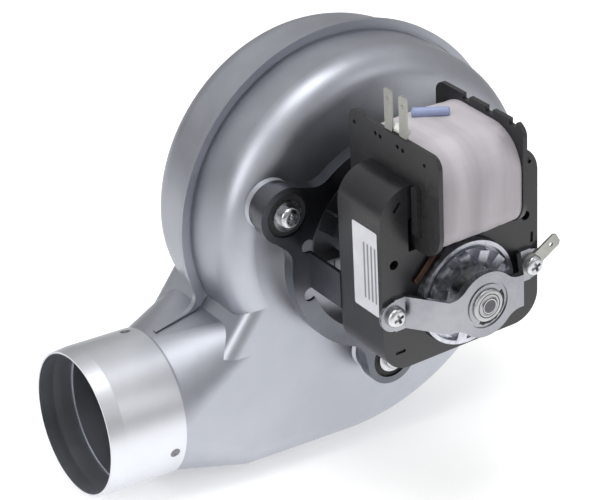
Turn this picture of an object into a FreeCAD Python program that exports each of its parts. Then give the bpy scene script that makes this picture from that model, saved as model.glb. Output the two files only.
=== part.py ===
import FreeCAD, Part
import math
import os

# Centrifugal flue fan: pressed scroll casing, blade wheel inside, shaded-pole motor in front.
# Millimetres. The shaft runs along Y through x = 0, z = 0. The back face of the casing is y = 0,
# the motor points to -Y, the outlet tube to -X, and +Z is up.

V = FreeCAD.Vector

# casing
sheet = 0.8
casing_depth = 62.0
seam_y = -casing_depth / 2.0
scroll_x = -0.8
scroll_z = -1.7
scroll_radius = 72.0
scroll_step = 10.1
shoulder_radius = 12.0
hem_width = 4.3
hem_return = 3.1
tongue_radius = 7.0
face_hole_radius = 8.0
pad_radius = 11.0
pad_height = 1.5

# neck and outlet, measured from the scroll's smallest quarter and its lowest line
scroll_low_z = scroll_z - scroll_step / 2.0 - scroll_radius - 2.0 * scroll_step
neck_radius = 30.7
outlet_z = scroll_low_z + neck_radius
neck_inset = 5.7
neck_start_x = scroll_x - scroll_radius + scroll_step + neck_inset
neck_blend = 31.0
neck_round_x = neck_start_x - neck_blend
neck_rise = 7.5
neck_top_z = outlet_z + neck_radius + neck_rise
web_radius = 6.0
web_inset = 9.0
web_angle = 204.5
web_reach = 13.1
web_drop = 12.0
hem_narrowing = 0.4
hem_end = 4.0
neck_seam_lift = 0.1
collar_gap = 1.4
collar_back_x = neck_round_x - collar_gap
neck_overlap = 18.6
neck_end_x = collar_back_x - neck_overlap
collar_length = 34.7
collar_taper = 0.7
collar_lip_length = 7.0
rivet_radius = 2.2
rivet_sink = 0.1
rivet_dimple = 0.6
rivet_inset = 5.0
rivet_count = 3
rivet_first = -15.0
rivet_clearance = 0.05

# blade wheel's outline, and the inlet that leads to its eye
wheel_gap = 1.9
wheel_radius = scroll_radius - scroll_step - wheel_gap
wheel_ring_width = 19.0
wheel_eye_radius = wheel_radius - wheel_ring_width
eye_lap = 3.0
inlet_radius = wheel_eye_radius - eye_lap
inlet_lip = 5.0
inlet_hole_margin = 10.0
inlet_hole_circle = 2.0 * (inlet_radius + inlet_hole_margin)
inlet_hole_radius = 2.75
inlet_hole_count = 4

# motor bracket
motor_turn = 3.5
bracket_sheet = 1.5
bracket_radius = 47.0
bracket_opening = 39.0
bracket_skirt = 6.0
ear_circle = 55.3
ear_count = 3
first_ear = 30.0
ear_blend = 9.0
ear_root_half_width = 18.4
cup_radius = 10.75
cup_depth = 11.5
leg_half_width = 8.0
leg_length = 21.0
leg_foot = 10.0
leg_clearance = 0.2
relief_radius = 3.0
relief_shift = 0.5

# rubber mountings and their screws
grommet_clearance = 0.1
grommet_pad = 1.0
grommet_recess = 1.0
grommet_flange = 8.5
grommet_neck = 5.4
mount_screw_radius = 2.5
mount_screw_reach = 3.0
mount_head_radius = 4.5
mount_head_height = 3.2
mount_washer_radius = 6.5
mount_washer_sheet = 1.2
thread_clearance = 0.1
head_rounding = 0.6
cross_width = 0.32
cross_length = 1.1
cross_turn = 20.0

# coil, wound on a bobbin round the stator's top limb
coil_half_length = 20.0
flange_sheet = 2.0
flange_corner = 5.0
tube_wall = 1.2
coil_thickness = 11.0
coil_corner = 8.8
coil_top_corner = 16.0
tape_thickness = 0.7
flange_margin = 0.8
coil_reach = tube_wall + coil_thickness + tape_thickness + flange_margin
flange_rise = 2.8
terminal_width = 4.8
terminal_sheet = 0.8
terminal_height = 17.5
terminal_root = 4.0
terminal_shift = 2.0
terminal_pitch = 9.5
terminal_hole = 0.8
terminal_hole_drop = 4.0
terminal_bevel = 1.0
sleeve_radius = 1.6
link_radius = 1.9
link_length = 15.0
link_x = 2.8
link_shift = 7.8
link_turn = -34.0
link_rounding = 1.1
notch_inset = 17.6
notch_width = 4.4
notch_depth = 2.2
notch_pitch = 14.6
notch_count = 3
left_flange_margin = 2.6
flange_ear_width = 11.5
flange_ear_rise = 1.4
flange_hole_radius = 0.9
flange_holes = [(3.8, 4.4), (17.8, 4.0), (20.9, 4.3), (32.2, 4.3), (35.5, 4.7), (49.3, 5.6)]
rib_gap = 1.2
rib_width = 3.6
rib_height = 2.0
rib_drop = 6.0

# stator
bore_radius = 22.5
stack_thickness = 28.0
stack_half_width = 38.0
bore_web = 2.4
window_floor_z = bore_radius + bore_web
window_clearance = 0.4
window_top_z = window_floor_z + coil_reach + window_clearance
window_margin = 3.0
window_half_width = coil_half_length + flange_sheet + window_margin
limb_height = 14.0
limb_seat = 1.0
limb_half_length = window_half_width + limb_seat
stack_top_z = window_top_z + limb_height
flange_top_z = stack_top_z + coil_reach + flange_rise
stack_low_web = 3.5
stack_bottom_z = -bore_radius - stack_low_web
stack_top_corner = 13.0
stack_low_corner = 12.0
pole_slot_half_width = 2.0
stack_hole_radius = 2.0
stack_hole_inset = 6.0
stack_hole_x = stack_half_width - stack_hole_inset
stack_hole_z = 21.5
keyway_length = 4.6
keyway_width = 1.4
keyway_depth = 0.8
keyways = [(-30.0, 45.7, 50.0), (33.0, 46.0, -50.0), (35.0, 11.0, 90.0), (-30.0, -18.0, 0.0)]
ring_wire = 1.2
ring_wall = 3.1
ring_circle = bore_radius + ring_wall
ring_first = 118.0
ring_spread = 34.0
ring_stand = 1.4
ring_clearance = 0.05

# bearing bridges
bridge_sheet = 1.5
bridge_foot_inset = 4.7
bridge_foot_x = stack_half_width - bridge_foot_inset
bridge_foot_radius = 6.5
bridge_foot_flat = 5.0
bridge_disc_radius = 14.0
bridge_arm_half_width = 7.0
bridge_rise = 15.0
bridge_step_x = 18.0
bridge_flange = 3.0
bridge_flange_gap = 0.3
bridge_blend = 9.0
bearing_radius = 7.0
bearing_length = 9.0
bearing_stand = 1.2
bearing_rounding = 1.0
bearing_groove = 10.0
groove_width = 1.2
groove_depth = 0.5
socket_wall = 2.0
socket_length = 3.0
bearing_clearance = 0.03
retainer_sheet = 0.6
retainer_slots = 6
retainer_slot_half_width = 0.6
retainer_slot_reach = 1.6
bridge_screw_radius = 2.0
bridge_screw_end = 1.5
bridge_head_radius = 4.2
bridge_head_height = 2.8
nut_across_flats = 7.0
nut_height = 3.2
tab_sheet = 0.8
tab_width = 6.3
tab_length = 15.5
tab_margin = 0.6
tab_bevel = 1.2
tab_hole = 0.9
tab_hole_inset = 4.2
tab_turn = 30.0

# how the motor stands in front of the casing
pad_y = -casing_depth - pad_height
cup_floor_y = pad_y - grommet_pad
bracket_face_y = cup_floor_y - cup_depth
grommet_front_y = bracket_face_y + grommet_recess
leg_x = bridge_foot_x + nut_across_flats / 2.0 + leg_clearance + bracket_sheet
stack_back_y = bracket_face_y - leg_length
stack_front_y = stack_back_y - stack_thickness
stack_middle_y = (stack_front_y + stack_back_y) / 2.0
bridge_disc_y = stack_front_y - bridge_sheet - bridge_rise
bearing_front_y = bridge_disc_y - bearing_stand
terminal_x = -coil_half_length - flange_sheet / 2.0
terminal_first_y = stack_middle_y + terminal_shift

# rotor
shaft_radius = 4.0
shaft_stand = 0.5
shaft_bevel = 0.6
air_gap = 0.35
rotor_radius = bore_radius - air_gap
end_ring_height = 4.5
end_ring_bore = 12.0
end_ring_step = 3.0
end_rim = 1.6
end_groove = 1.4
end_groove_depth = 2.0
fin_count = 12
fin_height = 3.0
fin_width = 4.6
fin_inset = 0.15
fin_length = 5.8
fin_tip = rotor_radius - end_rim - end_groove - fin_inset

# cooling wheel between motor and casing
cooling_clearance = 6.5
cooling_radius = bracket_opening - cooling_clearance
cooling_sheet = 1.0
cooling_gap = 6.0
cooling_disc_y = -casing_depth - cooling_gap
cooling_blade_height = 8.0
cooling_blade_length = 11.0
cooling_blade_count = 10
cooling_rim = 1.2
cooling_hub_radius = 7.5
cooling_hub_length = 7.0

# blade wheel in the casing
wheel_sheet = 1.0
wheel_front_gap = 8.0
wheel_back_gap = 5.0
wheel_disc_y = -casing_depth + wheel_front_gap
wheel_ring_y = -inlet_lip - wheel_back_gap
blade_count = 12
blade_span = 30.0
blade_root = wheel_radius - blade_span
blade_tip_inset = 1.0
blade_lean = 22.0
blade_bend = 3.0
hub_radius = 12.0
hub_length = 18.0
wheel_nut_flats = 11.0
wheel_nut_height = 5.0
shaft_end = 3.0
hub_y = wheel_disc_y + wheel_sheet
wheel_nut_y = hub_y + hub_length

# how far a cutting shape runs past the face that it cuts
past = 1.0


def polar(radius, degrees, y=0.0, x=0.0, z=0.0):
    angle = math.radians(degrees)
    return V(x + radius * math.cos(angle), y, z + radius * math.sin(angle))


def box(x0, x1, y0, y1, z0, z1):
    return Part.makeBox(x1 - x0, y1 - y0, z1 - z0, V(x0, y0, z0))


def rod(radius, y0, y1, x=0.0, z=0.0):
    return Part.makeCylinder(radius, y1 - y0, V(x, y0, z), V(0, 1, 0))


def tube(outer, inner, y0, y1, x=0.0, z=0.0):
    return rod(outer, y0, y1, x, z).cut(rod(inner, y0, y1, x, z))


def prism(edges, y0, y1):
    face = Part.Face(Part.Wire(edges))
    return face.extrude(V(0, y1 - y0, 0))


def polygon(points):
    closed = points + [points[0]]
    return [Part.LineSegment(a, b).toShape() for a, b in zip(closed, closed[1:])]


def arc(start, middle, end):
    return Part.Arc(start, middle, end).toShape()


def line(start, end):
    return Part.LineSegment(start, end).toShape()


def fuse(shapes):
    joined = shapes[0]
    for shape in shapes[1:]:
        joined = joined.fuse(shape)
    return joined.removeSplitter()


def turned(shape, degrees):
    copy = shape.copy()
    copy.rotate(V(0, 0, 0), V(0, 1, 0), -degrees)
    return copy


def spread(count, first=0.0):
    return [first + 360.0 * i / count for i in range(count)]


def hexagon(across_flats, y0, y1, x=0.0, z=0.0):
    # nut shape with one pair of flats facing along X
    corner = across_flats / math.sqrt(3.0)
    return prism(polygon([polar(corner, turn, y0, x, z) for turn in spread(6, 30.0)]), y0, y1)


def save(name, shape):
    shape.exportStep("parts/" + name + ".step")


# Scroll outline: quarter arcs about the corners of a small square, each one step larger than
# the last, so that the casing widens clockwise from the tongue to the outlet.
def scroll_centre(quarter):
    half = scroll_step / 2.0
    corners = [(-half, half), (half, half), (half, -half), (-half, -half)]
    x, z = corners[quarter]
    return scroll_x + x, scroll_z + z


def scroll_reach(quarter, grow):
    return scroll_radius + (quarter - 1) * scroll_step + grow


def scroll_bottom(grow):
    return scroll_low_z - grow


def scroll_edges(grow, y):
    edges = []
    first = 270.0
    for quarter in range(4):
        x, z = scroll_centre(quarter)
        radius = scroll_reach(quarter, grow)
        edges.append(arc(polar(radius, first, y, x, z), polar(radius, first - 45.0, y, x, z),
                         polar(radius, first - 90.0, y, x, z)))
        first -= 90.0
    x = scroll_centre(3)[0]
    top = scroll_centre(0)[1] - scroll_reach(0, grow)
    edges.append(line(V(x, y, scroll_bottom(grow)), V(x, y, top)))
    return edges


def round_rims(body, radius, slanted):
    # round the front and back rims of a prism; only the slanted ones if asked
    rims = []
    for edge in body.Edges:
        bounds = edge.BoundBox
        level = bounds.YLength < 0.01 and bounds.XLength > 0.01
        if level and (bounds.ZLength > 0.01 or not slanted):
            rims.append(edge)
    return body.makeFillet(radius, rims)


def scroll_body(grow):
    front = -casing_depth - grow
    body = prism(scroll_edges(grow, front), front, grow)
    return round_rims(body, shoulder_radius + grow, False)


def section_edges(x, front, back, top, bottom, r):
    # rounded rectangle across the neck, one arc and one line at a time
    k = r * (1.0 - math.sqrt(0.5))
    corners = [
        (V(x, front, top - r), V(x, front + k, top - k), V(x, front + r, top)),
        (V(x, back - r, top), V(x, back - k, top - k), V(x, back, top - r)),
        (V(x, back, bottom + r), V(x, back - k, bottom + k), V(x, back - r, bottom)),
        (V(x, front + r, bottom), V(x, front + k, bottom + k), V(x, front, bottom + r)),
    ]
    edges = []
    for i, (start, middle, end) in enumerate(corners):
        edges.append(arc(start, middle, end))
        edges.append(line(end, corners[(i + 1) % 4][0]))
    return edges


def circle_edges(x, radius):
    # the neck's round end in the same eight pieces: long arcs at the corners, short ones between
    short = 6.0
    edges = []

    def at(degrees):
        return V(x, seam_y, outlet_z) + about_tube(degrees) * radius

    for quarter in range(4):
        first = 90.0 * quarter + short
        last = 90.0 * (quarter + 1) - short
        edges.append(arc(at(first), at((first + last) / 2.0), at(last)))
        edges.append(arc(at(last), at(last + short), at(last + 2.0 * short)))
    return edges


def neck_parts(grow, end_x):
    # rounded box out of the scroll, a blend from box to round, and a pipe
    start = Part.Wire(section_edges(neck_start_x, -casing_depth - grow, grow, neck_top_z + grow,
                                    scroll_bottom(grow), shoulder_radius + grow))
    end = Part.Wire(circle_edges(neck_round_x, neck_radius + grow))
    blend = Part.makeLoft([start, end], True, False)
    throat = Part.Face(start).extrude(V(scroll_centre(3)[0] - neck_start_x, 0, 0))
    pipe = Part.makeCylinder(neck_radius + grow, neck_round_x - end_x,
                             V(end_x, seam_y, outlet_z), V(1, 0, 0))
    return [throat, blend, pipe]


def tongue_web(grow):
    # flat-faced corner that carries the front face from the scroll into the neck
    front = -casing_depth - grow
    x, z = scroll_centre(0)
    top = polar(scroll_reach(0, -web_inset), web_angle, front, x, z)
    low = V(neck_start_x - web_reach, front, neck_top_z - web_drop)
    lean = V(top.x - low.x, 0, top.z - low.z).normalize()
    out = V(-lean.z, 0, lean.x) * grow
    inner_x = top.x + 2.0 * shoulder_radius
    corners = [top + out, low + out, V(inner_x, front, low.z + out.z),
               V(inner_x, front, top.z + out.z)]
    body = prism(polygon(corners), front, grow)
    return round_rims(body, web_radius + grow, True)


def casing_solid(grow, end_x):
    solid = scroll_body(grow)
    for piece in neck_parts(grow, end_x) + [tongue_web(grow)]:
        solid = solid.fuse(piece)
    return solid.removeSplitter()


def seam_plate(grow, y0, y1):
    # outline of the casing in the seam plane, moved outward, with the tongue corner rounded
    plate = prism(scroll_edges(grow, y0), y0, y1)
    half = neck_radius + neck_seam_lift
    inside_x = scroll_centre(3)[0]
    top = neck_top_z + grow * hem_narrowing
    # the neck's upper side runs straight on into the scroll
    slope = (top - outlet_z - half) / (neck_start_x - collar_back_x)
    inside_top = top + slope * (inside_x - neck_start_x)
    points = [V(collar_back_x, y0, outlet_z - half), V(neck_start_x, y0, scroll_bottom(grow)),
              V(inside_x, y0, scroll_bottom(grow)), V(inside_x, y0, inside_top),
              V(collar_back_x, y0, outlet_z + half)]
    plate = plate.fuse(prism(polygon(points), y0, y1)).removeSplitter()
    highest = scroll_centre(0)[1] - tongue_radius
    beside = []
    for edge in plate.Edges:
        middle = edge.CenterOfMass
        upright = edge.BoundBox.YLength > y1 - y0 - 0.01
        if upright and middle.x < scroll_x and outlet_z < middle.z < highest:
            beside.append(edge)
    corner = max(beside, key=lambda edge: edge.CenterOfMass.x)
    return plate.makeFillet(tongue_radius, [corner])


def seam_ring(outside, inside, y0, y1):
    ring = seam_plate(outside, y0, y1).cut(seam_plate(inside, y0, y1))
    far = 2.0 * scroll_radius
    return ring.common(box(collar_back_x + hem_end, far, y0, y1, -far, far))


def ear_places(turn=0.0):
    return [polar(ear_circle, degrees) for degrees in spread(ear_count, first_ear + turn)]


def about_tube(degrees):
    # direction across the outlet tube, counted from the front upwards
    angle = math.radians(degrees)
    return V(0, -math.cos(angle), math.sin(angle))


def make_shells():
    outside = casing_solid(0.0, neck_end_x)
    inside = casing_solid(-sheet, neck_end_x - past)
    walls = outside.cut(inside)
    far = 3.0 * scroll_radius
    rear_half = walls.common(box(-far, far, seam_y, far, -far, far))
    front_half = walls.common(box(-far, far, -far, seam_y, -far, far))

    # rear half: flange, hem folded over the front half's flange, inlet eye and screw holes
    flange = seam_ring(hem_width, -sheet / 2.0, seam_y, seam_y + sheet)
    edge = seam_ring(hem_width, hem_width - sheet, seam_y - 2.0 * sheet, seam_y)
    fold = seam_ring(hem_width, hem_width - hem_return, seam_y - 2.0 * sheet, seam_y - sheet)
    rear = rear_half.fuse(flange.cut(inside)).fuse(edge).fuse(fold)
    rear = rear.cut(rod(inlet_radius, -sheet - past, past))
    rear = rear.fuse(tube(inlet_radius + sheet, inlet_radius, -inlet_lip, 0.0))
    for turn in spread(inlet_hole_count, 45.0):
        centre = polar(inlet_hole_circle / 2.0, turn)
        rear = rear.cut(rod(inlet_hole_radius, -sheet - past, past, centre.x, centre.z))
    rear = rear.removeSplitter()

    # front half: flange inside the hem, three raised pads for the motor, hole for the shaft
    rim = seam_ring(hem_width - sheet, -sheet / 2.0, seam_y - sheet, seam_y)
    front = front_half.fuse(rim.cut(inside))
    face = -casing_depth
    front = front.cut(rod(face_hole_radius, face - past, face + sheet + past))
    hole = mount_screw_radius + thread_clearance
    for centre in ear_places(motor_turn):
        foot = V(centre.x, pad_y, centre.z)
        cap = Part.makeCone(pad_radius - pad_height, pad_radius, pad_height, foot, V(0, 1, 0))
        hollow = Part.makeCone(pad_radius - pad_height - sheet, pad_radius - sheet, pad_height,
                               foot + V(0, sheet, 0), V(0, 1, 0))
        front = front.fuse(cap).cut(hollow)
        front = front.cut(rod(hole, pad_y - past, pad_y + sheet + past, centre.x, centre.z))
    return rear, front.removeSplitter()


def about_outlet(points):
    # revolve a half section, given as (x, radius) points, about the tube's axis
    corners = [V(x, seam_y, outlet_z + radius) for x, radius in points]
    face = Part.Face(Part.Wire(polygon(corners)))
    return face.revolve(V(0, seam_y, outlet_z), V(1, 0, 0), 360.0)


def make_collar():
    # sleeve over the neck, drawn in a little at its mouth so that a duct slides over it
    lip_x = collar_back_x - collar_length
    step_x = lip_x + collar_lip_length
    outer = neck_radius + sheet
    return about_outlet([
        (collar_back_x, neck_radius), (collar_back_x, outer), (step_x, outer),
        (lip_x, outer - collar_taper), (lip_x, neck_radius - collar_taper),
        (step_x, neck_radius)])


def rivet_shank(turn, radius):
    # cylinder through the collar and the neck, square to the tube
    out = about_tube(turn)
    base = V(collar_back_x - rivet_inset, seam_y, outlet_z) + out * (neck_radius - 2.0 * sheet)
    return Part.makeCylinder(radius, 3.0 * sheet - rivet_sink, base, out)


def make_collar_rivets():
    # set flush with the collar, with a dimple from the punch, so that a duct slides over them
    rivets = []
    for turn in spread(rivet_count, rivet_first):
        top = V(collar_back_x - rivet_inset, seam_y, outlet_z)
        top = top + about_tube(turn) * (neck_radius + sheet - rivet_sink)
        ball = Part.makeSphere(rivet_radius, top + about_tube(turn) * (rivet_radius - rivet_dimple))
        rivets.append(rivet_shank(turn, rivet_radius).cut(ball))
    return rivets


def rivet_holes(shape):
    far = past + sheet
    for turn in spread(rivet_count, rivet_first):
        out = about_tube(turn)
        hole = rivet_shank(turn, rivet_radius + rivet_clearance)
        hole = hole.fuse(Part.makeCylinder(rivet_radius + rivet_clearance, far,
                                           V(collar_back_x - rivet_inset, seam_y, outlet_z)
                                           + out * neck_radius, out))
        shape = shape.cut(hole)
    return shape


# Motor bracket: a pressed plate with its rim folded back, three cups for the rubber
# mountings, and two legs bent forward to the stack.
def bracket_outline(y, depth, grow):
    body = rod(bracket_radius + grow, y, y + depth)
    tip_radius = cup_radius + bracket_sheet + grow
    for centre in ear_places():
        out = V(centre.x, 0, centre.z).normalize()
        side = V(-out.z, 0, out.x)
        across = side * tip_radius
        wide = side * (ear_root_half_width + grow)
        root = centre / 2.0
        corners = [centre + across, centre - across, root - wide, root + wide]
        ear = prism(polygon([V(c.x, y, c.z) for c in corners]), y, y + depth)
        body = body.fuse(ear).fuse(rod(tip_radius, y, y + depth, centre.x, centre.z))
    body = body.removeSplitter()
    hollows = []
    for edge in body.Edges:
        middle = edge.CenterOfMass
        reach = math.hypot(middle.x, middle.z)
        upright = edge.BoundBox.YLength > depth - 0.01
        if upright and abs(reach - bracket_radius - grow) < bracket_sheet:
            hollows.append(edge)
    return body.makeFillet(ear_blend - grow, hollows)


def make_leg(side):
    # flat leg from the plate to the stack, with a foot bent inwards under the bridge's nut
    y = bracket_face_y
    t = bracket_sheet
    half = leg_half_width
    x0, x1 = sorted((side * leg_x, side * (leg_x - t)))
    leg = box(x0, x1, stack_back_y, y + t, -half, half)
    x0, x1 = sorted((side * leg_x, side * (leg_x - leg_foot)))
    foot = box(x0, x1, stack_back_y, stack_back_y + t, -half, half)
    hole = rod(bridge_screw_radius + thread_clearance, stack_back_y - past,
               stack_back_y + t + past, side * bridge_foot_x)
    return leg.fuse(foot.cut(hole))


def make_bracket():
    y = bracket_face_y
    t = bracket_sheet
    plate = bracket_outline(y, t, 0.0)
    skirt = bracket_outline(y, bracket_skirt, 0.0).cut(bracket_outline(y, bracket_skirt, -t))
    opening = rod(bracket_opening, y - past, y + bracket_skirt + past)
    for side in (-1.0, 1.0):
        x0, x1 = sorted((side * (leg_x - t), side * bracket_radius))
        opening = opening.cut(box(x0, x1, y - past, y + t + past, -leg_half_width,
                                  leg_half_width))
    body = plate.fuse(skirt).cut(opening)
    for side in (-1.0, 1.0):
        body = body.fuse(make_leg(side))
        for up in (-1.0, 1.0):
            relief = rod(relief_radius, y - past, y + t, side * (leg_x + relief_shift),
                         up * (leg_half_width + relief_radius))
            body = body.cut(relief)
    for centre in ear_places():
        body = body.cut(rod(cup_radius - t, y - past, y + bracket_skirt, centre.x, centre.z))
        wall = tube(cup_radius, cup_radius - t, y, cup_floor_y, centre.x, centre.z)
        floor = tube(cup_radius, grommet_neck + grommet_clearance, cup_floor_y - t, cup_floor_y,
                     centre.x, centre.z)
        body = body.fuse(wall).fuse(floor)
    return body.removeSplitter()


def make_grommet(x, z):
    bore = mount_screw_radius + grommet_clearance
    body = rod(grommet_flange, cup_floor_y, pad_y, x, z)
    body = body.fuse(rod(grommet_neck, cup_floor_y - bracket_sheet, cup_floor_y, x, z))
    inside = cup_radius - bracket_sheet - grommet_clearance
    body = body.fuse(rod(inside, grommet_front_y, cup_floor_y - bracket_sheet, x, z))
    return body.cut(rod(bore, grommet_front_y, pad_y, x, z)).removeSplitter()


def make_mount_washer(x, z):
    hole = mount_screw_radius + grommet_clearance
    return tube(mount_washer_radius, hole, grommet_front_y - mount_washer_sheet,
                grommet_front_y, x, z)


def pan_screw(x, z, under_head, tip, shank, head, height):
    # domed head towards the front with a cross recess, shank running back
    face = under_head - height
    dome = rod(head, face, under_head, x, z)
    rim = [edge for edge in dome.Edges
           if edge.CenterOfMass.y < face + 0.01 and edge.BoundBox.YLength < 0.01]
    dome = dome.makeFillet(height * head_rounding, rim)
    slot = head * cross_width / 2.0
    reach = head * cross_length / 2.0
    for turn in (cross_turn, cross_turn + 90.0):
        bar = turned(box(-reach, reach, face - past, face + height / 2.0, -slot, slot), turn)
        bar.translate(V(x, 0, z))
        dome = dome.cut(bar)
    return dome.fuse(rod(shank, under_head, tip, x, z)).removeSplitter()


def make_mount_screw(x, z):
    under = grommet_front_y - mount_washer_sheet
    return pan_screw(x, z, under, -casing_depth + mount_screw_reach, mount_screw_radius,
                     mount_head_radius, mount_head_height)


# Stator: rectangular stack with the rotor's bore, a separate limb across the top and a
# window between them for the lower half of the coil.
def make_stack():
    half = stack_half_width
    body = box(-half, half, stack_front_y, stack_back_y, stack_bottom_z, stack_top_z)
    for radius, level in ((stack_top_corner, stack_top_z), (stack_low_corner, stack_bottom_z)):
        corners = []
        for edge in body.Edges:
            bounds = edge.BoundBox
            across = bounds.YLength > stack_thickness - 0.01 and bounds.XLength < 0.01
            if across and abs(edge.CenterOfMass.z - level) < 0.01:
                corners.append(edge)
        body = body.makeFillet(radius, corners)
    y0 = stack_front_y - past
    y1 = stack_back_y + past
    body = body.cut(box(-limb_half_length, limb_half_length, y0, y1, window_top_z,
                        stack_top_z + past))
    body = body.cut(box(-window_half_width, window_half_width, y0, y1, window_floor_z,
                        window_top_z + past))
    body = body.cut(rod(bore_radius, y0, y1))
    body = body.cut(box(-pole_slot_half_width, pole_slot_half_width, y0, y1, 0.0,
                        window_floor_z + past))
    for side in (-1.0, 1.0):
        body = body.cut(rod(stack_hole_radius, y0, y1, side * stack_hole_x, stack_hole_z))
        body = body.cut(rod(bridge_screw_radius + thread_clearance, y0, y1,
                            side * bridge_foot_x))
    for place in ring_places():
        for end in place:
            body = body.cut(rod(ring_wire + ring_clearance, y0, y1, end.x, end.z))
    # punched keys that hold the laminations together, seen as short slots in the front one
    for x, z, turn in keyways:
        key = box(-keyway_length / 2.0, keyway_length / 2.0, y0, stack_front_y + keyway_depth,
                  -keyway_width / 2.0, keyway_width / 2.0)
        key = turned(key, turn)
        key.translate(V(x, 0, z))
        body = body.cut(key)
    return body.removeSplitter()


def ring_places():
    # each shading ring passes through two holes beside the bore, one pole each
    return [(polar(ring_circle, base), polar(ring_circle, base + ring_spread))
            for base in (ring_first, ring_first + 180.0)]


def make_shading_ring(start, end):
    y0 = stack_front_y - ring_stand
    y1 = stack_back_y + ring_stand
    r = ring_wire
    bars = [rod(r, y0, y1, p.x, p.z) for p in (start, end)]
    along = end - start
    for y in (y0, y1):
        bars.append(Part.makeCylinder(r, along.Length, V(start.x, y, start.z), along))
        for p in (start, end):
            bars.append(Part.makeSphere(r, V(p.x, y, p.z)))
    return fuse(bars)


def make_limb():
    return box(-limb_half_length, limb_half_length, stack_front_y, stack_back_y, window_top_z,
               stack_top_z)


def loop_block(gap, corner, top_corner):
    # block that surrounds the limb at the given distance, with its long edges rounded
    body = box(-coil_half_length, coil_half_length, stack_front_y - gap, stack_back_y + gap,
               window_top_z - gap, stack_top_z + gap)
    if corner <= 0.0:
        return body
    body = round_along_x(body, corner, window_top_z - gap)
    return round_along_x(body, top_corner, stack_top_z + gap)


def round_along_x(body, radius, z):
    # round the edges that run along X at the given height
    edges = [edge for edge in body.Edges
             if edge.BoundBox.YLength < 0.01 and edge.BoundBox.ZLength < 0.01
             and abs(edge.CenterOfMass.z - z) < 0.01]
    return body.makeFillet(radius, edges)


def make_flange(side, front_margin):
    x0, x1 = sorted((side * coil_half_length, side * (coil_half_length + flange_sheet)))
    low = window_top_z - coil_reach
    body = box(x0, x1, stack_front_y - coil_reach - front_margin, stack_back_y + coil_reach,
               low, flange_top_z)
    body = round_along_x(body, coil_thickness, low)
    return round_along_x(body, flange_corner, flange_top_z)


def make_bobbin():
    limb_space = box(-limb_half_length, limb_half_length, stack_front_y, stack_back_y,
                     window_top_z, stack_top_z)
    left = make_flange(-1.0, left_flange_margin)
    # raised end at the back of the left flange
    back = stack_back_y + coil_reach
    ear = box(-coil_half_length - flange_sheet, -coil_half_length, back - flange_ear_width, back,
              flange_top_z - 2.0 * flange_corner, flange_top_z + flange_ear_rise)
    left = left.fuse(round_along_x(ear, flange_corner, flange_top_z + flange_ear_rise))
    # rib down the left flange's outside, in front of the stack
    outside = -coil_half_length - flange_sheet
    rib_y = stack_front_y - rib_gap
    left = left.fuse(box(outside - rib_height, outside, rib_y - rib_width, rib_y,
                         window_top_z - rib_drop, stack_top_z))
    for shift, drop in flange_holes:
        left = left.cut(Part.makeCylinder(flange_hole_radius, 2.0 * flange_sheet,
                                          V(outside - flange_sheet / 2.0, back - shift,
                                            flange_top_z - drop), V(1, 0, 0)))
    body = loop_block(tube_wall, 0.0, 0.0).fuse(left).fuse(make_flange(1.0, 0.0))
    # notched top edge of the right flange
    first = stack_back_y + coil_reach - notch_inset - notch_width
    for i in range(notch_count):
        y = first - i * notch_pitch
        body = body.cut(box(coil_half_length - past, coil_half_length + flange_sheet + past,
                            y, y + notch_width, flange_top_z - notch_depth,
                            flange_top_z + past))
    # pockets for the two terminals in the left flange
    for centre in terminal_places():
        body = body.cut(terminal_blade(centre, flange_top_z + past))
    return body.cut(limb_space).removeSplitter()


def terminal_places():
    return [terminal_first_y, terminal_first_y - terminal_pitch]


def terminal_blade(centre, tip):
    half_sheet = terminal_sheet / 2.0
    half_width = terminal_width / 2.0
    return box(terminal_x - half_sheet, terminal_x + half_sheet, centre - half_width,
               centre + half_width, flange_top_z - terminal_root, tip)


def make_terminal(centre):
    tip = flange_top_z + terminal_height
    blade = terminal_blade(centre, tip)
    shoulders = [edge for edge in blade.Edges
                 if edge.BoundBox.XLength > terminal_sheet / 2.0
                 and edge.CenterOfMass.z > tip - 0.01]
    blade = blade.makeChamfer(terminal_bevel, shoulders)
    hole = Part.makeCylinder(terminal_hole, 2.0 * flange_sheet,
                             V(terminal_x - flange_sheet, centre, tip - terminal_hole_drop),
                             V(1, 0, 0))
    return blade.cut(hole)


def make_winding():
    outer = loop_block(tube_wall + coil_thickness, coil_corner, coil_top_corner)
    return outer.cut(loop_block(tube_wall, 0.0, 0.0))


def make_tape():
    outer = loop_block(tube_wall + coil_thickness + tape_thickness,
                       coil_corner + tape_thickness, coil_top_corner + tape_thickness)
    return outer.cut(loop_block(tube_wall + coil_thickness, coil_corner, coil_top_corner))


def make_lead_sleeve():
    # short sleeve on the left flange, between the two terminals' roots
    half = (terminal_pitch - terminal_sheet) / 2.0
    x = terminal_x + terminal_sheet / 2.0 + sleeve_radius
    middle = terminal_first_y - terminal_pitch / 2.0
    return Part.makeCylinder(sleeve_radius, 2.0 * half,
                             V(x, middle - half, flange_top_z + sleeve_radius), V(0, 1, 0))


def make_thermal_link():
    # sleeved cut-out lying askew on the top of the coil
    top = stack_top_z + tube_wall + coil_thickness + tape_thickness + link_radius
    body = Part.makeCylinder(link_radius, link_length, V(-link_length / 2.0, 0, 0), V(1, 0, 0))
    ends = [edge for edge in body.Edges if edge.BoundBox.XLength < 0.01]
    body = body.makeFillet(link_rounding, ends)
    body.rotate(V(0, 0, 0), V(0, 0, 1), link_turn)
    body.translate(V(link_x, stack_middle_y + link_shift, top))
    return body


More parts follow.
